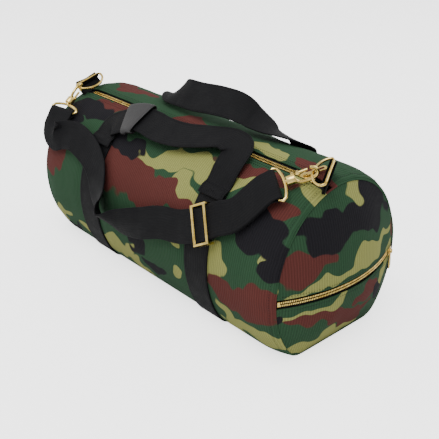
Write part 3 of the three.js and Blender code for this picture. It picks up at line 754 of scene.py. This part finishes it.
def corner_rings(node):
    """The four-cornered sections of a CAD strip or bar, in order, with their corners matched."""
    mesh = welded(node)
    rings = next(
        rings
        for face in mesh.faces
        for edge in face.edges
        for rings in [walk_rings({v for f in edge.link_faces for v in f.verts})]
        if all(len(ring) == 4 for ring in rings) and 4 * len(rings) == len(mesh.verts)
    )
    sections = [[v.co.copy() for v in ring] for ring in rings]
    mesh.free()
    start = min(sections[0], key=tuple)
    thin, wide, far = sorted(sections[0], key=lambda p: (p - start).length)[1:]
    ordered = [[start, wide, far, thin]]
    for section in sections[1:]:
        middle = sum(section, Vector()) / 4
        before = ordered[-1]
        before_middle = sum(before, Vector()) / 4
        match = lambda order: sum(
            ((p - middle) - (q - before_middle)).length for p, q in zip(order, before)
        )
        ordered.append(list(min(permutations(section), key=match)))
    return ordered


def stations(node):
    """(middle, across, out) of a CAD strip's sections; across and out reach to its faces."""
    found = []
    for a, b, c, d in corner_rings(node):
        found.append(((a + b + c + d) / 4, (b + c - a - d) / 4, (c + d - a - b) / 4))
    return found


def between(a, b, c, d, t):
    """A point a share t of the way from b to c, on a smooth curve through all four."""
    return 0.5 * (
        2 * b + (c - a) * t + (2 * a - 5 * b + 4 * c - d) * t * t + (3 * b - a - 3 * c + d) * t**3
    )


def refined(run, parts):
    """More stations between the given ones, on a smooth curve."""
    fine = []
    last = len(run) - 1
    for i in range(last):
        near = [run[max(0, min(last, i + k))] for k in (-1, 0, 1, 2)]
        middles = [middle for middle, _, _ in near]
        _, (_, across, out), (_, next_across, next_out), _ = near
        for k in range(parts):
            t = k / parts
            fine.append((between(*middles, t), across.lerp(next_across, t), out.lerp(next_out, t)))
    return fine + [run[-1]]


def tucked(run, length):
    """The run carried on a little way past both ends."""
    ends = []
    for (end, across, out), (inner, _, _) in ((run[0], run[1]), (run[-1], run[-2])):
        ends.append((end + (end - inner).normalized() * length, across, out))
    return [ends[0], *run, ends[1]]


def lapped(run, length, rise):
    """The run carried on past its first end, stepping up to lie on top of what is there."""
    (end, across, out), (inner, _, _) = run[:2]
    ahead = (end - inner).normalized() * length
    up = out.normalized() * outer_way([run[0]]) * rise
    steps = [(end + ahead * t + up, across, out) for t in (1, 0.7, 0.35)]
    return steps + run[1:]


# Webbing in section: a flat band with rounded edges, as shares of its half width and thickness.
SIDE_STEPS = [-0.98, -0.9, -0.7, -0.45, -0.2, 0, 0.2, 0.45, 0.7, 0.9, 0.98]
WEB_PROFILE = [(u, 1) for u in SIDE_STEPS] + [(1, 0.45), (1, -0.45)]
WEB_PROFILE += [(-u, -1) for u in SIDE_STEPS] + [(-1, -0.45), (-1, 0.45)]


def woven_band(name, node, body, run, ripple=0.0, material=WEBBING):
    """A CAD strip remade along a run, with rounded edges, soft ripples and the weave laid along it."""
    rows = []
    places = []
    travelled = 0.0
    for i, (middle, across, out) in enumerate(run):
        travelled += (middle - run[max(0, i - 1)][0]).length
        half = across.length
        row = []
        for u, w in WEB_PROFILE:
            wave = ripple * noise.noise(Vector((travelled * 30, u * 0.8, len(name))))
            row.append(middle + across * u + out * w + out.normalized() * wave)
            places.append((travelled, u * half, 0))
        rows.append(row)
    verts, faces = grid(rows, wrap=True)
    count = len(WEB_PROFILE)
    faces += [tuple(range(count)), tuple(reversed(range(len(verts) - count, len(verts))))]
    obj = piece(name, verts, outward_faces(verts, faces), material, body, places)
    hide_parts(node)


EDGE_SHARE = 0.88  # where the rows of stitches run, as a share of a band's half width
BOX_SHARE = 0.82


def outer_way(run):
    """+1 or -1: the face of a band that looks away from the bag's middle."""
    middle, _, out = run[len(run) // 2]
    return 1 if out.dot(middle - Vector((middle.x, 0, CENTRE_HEIGHT))) > 0 else -1


def on_face(station, share, way):
    """(point, outward) on one face of a band, at a share of its half width from its middle."""
    middle, across, out = station
    return middle + across * share + out * way, out.normalized() * way


def edge_lines(run, way):
    """Stitch lines near both edges of a band, on one of its faces."""
    return [[on_face(station, side * EDGE_SHARE, way) for station in run] for side in (-1, 1)]


def box_stitch(run, way):
    """A sewn box with a cross in it, over the whole of a run."""
    last = len(run) - 1
    ends = [[on_face(run[i], share, way) for share in evenly(-BOX_SHARE, BOX_SHARE, 8)] for i in (0, last)]
    lines = []
    for side in (-BOX_SHARE, BOX_SHARE):
        lines.append([on_face(station, side, way) for station in run])
        lines.append([on_face(run[i], lerp(-side, side, i / last), way) for i in range(last + 1)])
    return ends + lines


HANDLE_LAP = 14 * MM
HANDLE_RISE = 2.4 * MM
BEND_START = (71.5 * MM, 164 * MM)  # how far to the side and how high a handle starts to bend
BEND_END = (52 * MM, 181 * MM)
RIPPLE = 0.5 * MM
TAB_TUCK = 6 * MM
BOX_STATIONS = 11


def build_band(side_name):
    """A webbing band round the bag, with a row of stitches near each edge."""
    run = refined(stations(f"{side_name}_body_webbing"), 4)
    woven_band(f"{side_name}_band", f"{side_name}_body_webbing", "bag", run)
    stitches(f"{side_name}_band_stitching", edge_lines(run, outer_way(run)), "bag")


def build_handle(side_name, side):
    """A handle whose feet stay sewn to the bag, with a box stitch over each foot."""
    node = f"{side_name}_handle"
    start, end = [(0, side * y, z) for y, z in (BEND_START, BEND_END)]
    bend = ("bag", node, start, end)
    run = lapped(stations(node), HANDLE_LAP, HANDLE_RISE)
    run = refined(lapped(run[::-1], HANDLE_LAP, HANDLE_RISE), 4)
    woven_band(f"{node}_webbing", node, bend, run, RIPPLE)
    way = outer_way(run)
    lines = edge_lines(run, way)
    for foot in (run[1 : BOX_STATIONS + 1], run[-BOX_STATIONS - 1 : -1]):
        lines += box_stitch(foot, way)
    stitches(f"{node}_stitching", lines, bend)


def build_tab(side_name):
    """The loop of webbing that holds a D-ring, with its ends tucked under the band."""
    node = f"{side_name}_ring_tab"
    run = refined(tucked(stations(node), TAB_TUCK), 4)
    woven_band(f"{side_name}_tab_webbing", node, "bag", run)


build_band("left")
build_band("right")
build_handle("front", -1)
build_handle("back", 1)
woven_band("strap_webbing", "shoulder_strap", "shoulder_strap", refined(stations("shoulder_strap"), 3))
build_tab("left")
build_tab("right")

# ---- Zips ----------------------------------------------------------------------------------

TOOTH_PITCH = 2 * MM
TOOTH_HALF = 0.3 * TOOTH_PITCH
TOOTH_FILL = 0.98  # share of the CAD row's section that a tooth fills
# A tooth is a block whose two ends are corners 0 to 3 and 4 to 7.
TOOTH_FACES = [(0, 1, 2, 3), (7, 6, 5, 4), (0, 4, 5, 1), (1, 5, 6, 2), (2, 6, 7, 3), (3, 7, 4, 0)]


def zip_teeth(name, node, offset):
    """Separate metal teeth along a CAD row of teeth; offset is in pitches."""
    verts = []
    faces = []
    run = refined(stations(node), 8)
    for middle, ahead, across, out in spaced(run, TOOTH_PITCH, offset * TOOTH_PITCH):
        base = len(verts)
        for end in (middle - ahead * TOOTH_HALF, middle + ahead * TOOTH_HALF):
            for u, w in ((-1, -1), (1, -1), (1, 1), (-1, 1)):
                verts.append(end + (across * u + out * w) * TOOTH_FILL)
        faces += [tuple(base + corner for corner in face) for face in TOOTH_FACES]
    obj = piece(name, verts, outward_faces(verts, faces), BRASS, "bag")
    soften = obj.modifiers.new("rounded", "BEVEL")
    soften.width = 0.25 * MM
    soften.segments = 2
    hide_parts(node)


for chain, rows in (("main", ("front", "back")), ("end", ("lower", "upper"))):
    for offset, row in enumerate(rows):
        zip_teeth(f"{chain}_chain_{row}", f"{chain}_zip_teeth_{row}", offset * 0.5)
        tape = f"{chain}_zip_tape_{row}"
        run = refined(stations(tape), 2)
        woven_band(f"{chain}_woven_tape_{row}", tape, "bag", run, material=TAPE)

# ---- Leather grip and the pieces inside ----------------------------------------------------


WIDE_ANGLE = 3.0  # in radians: all but the sharpest pairs of triangles become one face


def copy_softened(name, node, body, material, levels):
    """A soft CAD piece remade as a finer, rounder mesh."""
    mesh = welded(node)
    angles = {"angle_face_threshold": WIDE_ANGLE, "angle_shape_threshold": WIDE_ANGLE}
    bmesh.ops.join_triangles(mesh, faces=mesh.faces, **angles)
    verts, faces = from_bmesh(mesh)
    obj = piece(name, verts, outward_faces(verts, faces), material, body)
    soft = obj.modifiers.new("rounded", "SUBSURF")
    soft.levels = soft.render_levels = levels
    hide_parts(node)


copy_softened("grip_leather", "handle_wrap", "front_handle", LEATHER, 2)
copy_softened("pocket_inner_wall", "end_pocket_lining", "bag", LINING, 1)
copy_softened("left_inner_binding", "left_seam_binding", "bag", LINING, 1)
copy_softened("right_inner_binding", "right_seam_binding", "bag", LINING, 1)

# ---- Metal parts carried over from the CAD -------------------------------------------------


def finish_metal(node, wire):
    """Brass on a CAD part: a wire is rounded, and any other part has its edges eased."""
    part = NODES[node]
    part.data.materials.clear()
    part.data.materials.append(BRASS)
    part.data.polygons.foreach_set("use_smooth", [True] * len(part.data.polygons))
    custom = part.data.attributes.get("custom_normal")
    if custom:
        part.data.attributes.remove(custom)
    part.modifiers.new("weld", "WELD").merge_threshold = 1e-6
    if wire:
        round_wire = part.modifiers.new("round", "SUBSURF")
        round_wire.levels = round_wire.render_levels = 2
        return
    ease = part.modifiers.new("ease", "BEVEL")
    ease.width = 0.2 * MM
    ease.segments = 2
    ease.angle_limit = math.radians(40)
    split = part.modifiers.new("split", "EDGE_SPLIT")
    split.split_angle = math.radians(38)


for entry in frame["record"]["subparts"]:
    if entry["material_slot"] == "brass" and not NODES[entry["node"]].hide_render:
        finish_metal(entry["node"], wire=entry["node"].endswith("d_ring"))

# ---- Room, light and camera ----------------------------------------------------------------


FLOOR_SIZE = 60
PAPER_GLOW = 2.2
SKY_STRENGTH = 0.85
LAMP_AIM = Vector((0, 0, 0.1))


def build_room():
    """A sheet of white paper under a plain white sky."""
    paper = Nodes("floor_paper", roughness=0.9)
    fibre = paper.noise(paper.object_spot(), 300, 3)
    tone = paper.mix(fibre, rgb(240, 240, 240), rgb(250, 250, 250))
    paper.link(tone, paper.shader.inputs["Base Color"])
    # The paper glows for the camera alone, so that it looks near white and lights nothing.
    paper.link(tone, paper.shader.inputs["Emission Color"])
    seen = paper.add("LightPath").outputs["Is Camera Ray"]
    paper.link(paper.math("MULTIPLY", seen, PAPER_GLOW), paper.shader.inputs["Emission Strength"])
    bpy.ops.mesh.primitive_plane_add(size=FLOOR_SIZE)
    floor = bpy.context.object
    floor.name = "floor"
    floor.data.materials.append(paper.material)
    world = bpy.data.worlds.new("studio")
    world.use_nodes = True
    sky = world.node_tree.nodes["Background"]
    sky.inputs["Color"].default_value = (1, 1, 1, 1)
    sky.inputs["Strength"].default_value = SKY_STRENGTH
    bpy.context.scene.world = world


def add_lamp(name, place, size, power):
    """A soft square lamp that looks at the bag."""
    data = bpy.data.lights.new(name, "AREA")
    data.size = size
    data.energy = power
    lamp = bpy.data.objects.new(name, data)
    bpy.context.scene.collection.objects.link(lamp)
    lamp.location = place
    lamp.rotation_euler = (LAMP_AIM - Vector(place)).to_track_quat("-Z", "Y").to_euler()


CAMERA_LENS = 63.5
CAMERA_DISTANCE = 0.992
CAMERA_AZIMUTH = 48.2  # degrees from the front round to the right
CAMERA_ELEVATION = 26.8
CAMERA_AIM = Vector((0.0114, 0.0162, 0.0616))


def add_camera():
    """The camera, where the photo was taken from."""
    data = bpy.data.cameras.new("camera")
    data.sensor_width = 36
    data.lens = CAMERA_LENS
    camera = bpy.data.objects.new("camera", data)
    bpy.context.scene.collection.objects.link(camera)
    azimuth = math.radians(CAMERA_AZIMUTH)
    elevation = math.radians(CAMERA_ELEVATION)
    flat = math.cos(elevation)
    back = Vector((math.sin(azimuth) * flat, -math.cos(azimuth) * flat, math.sin(elevation)))
    camera.location = CAMERA_AIM + back * CAMERA_DISTANCE
    camera.rotation_euler = (-back).to_track_quat("-Z", "Y").to_euler()
    bpy.context.scene.camera = camera


build_room()
add_lamp("key", (0.3, -0.7, 1.8), size=1.2, power=26)
add_lamp("fill", (-1.2, -0.6, 0.9), size=1.6, power=6)
add_lamp("rim", (0.3, 1.3, 1.2), size=1.2, power=8)
add_camera()
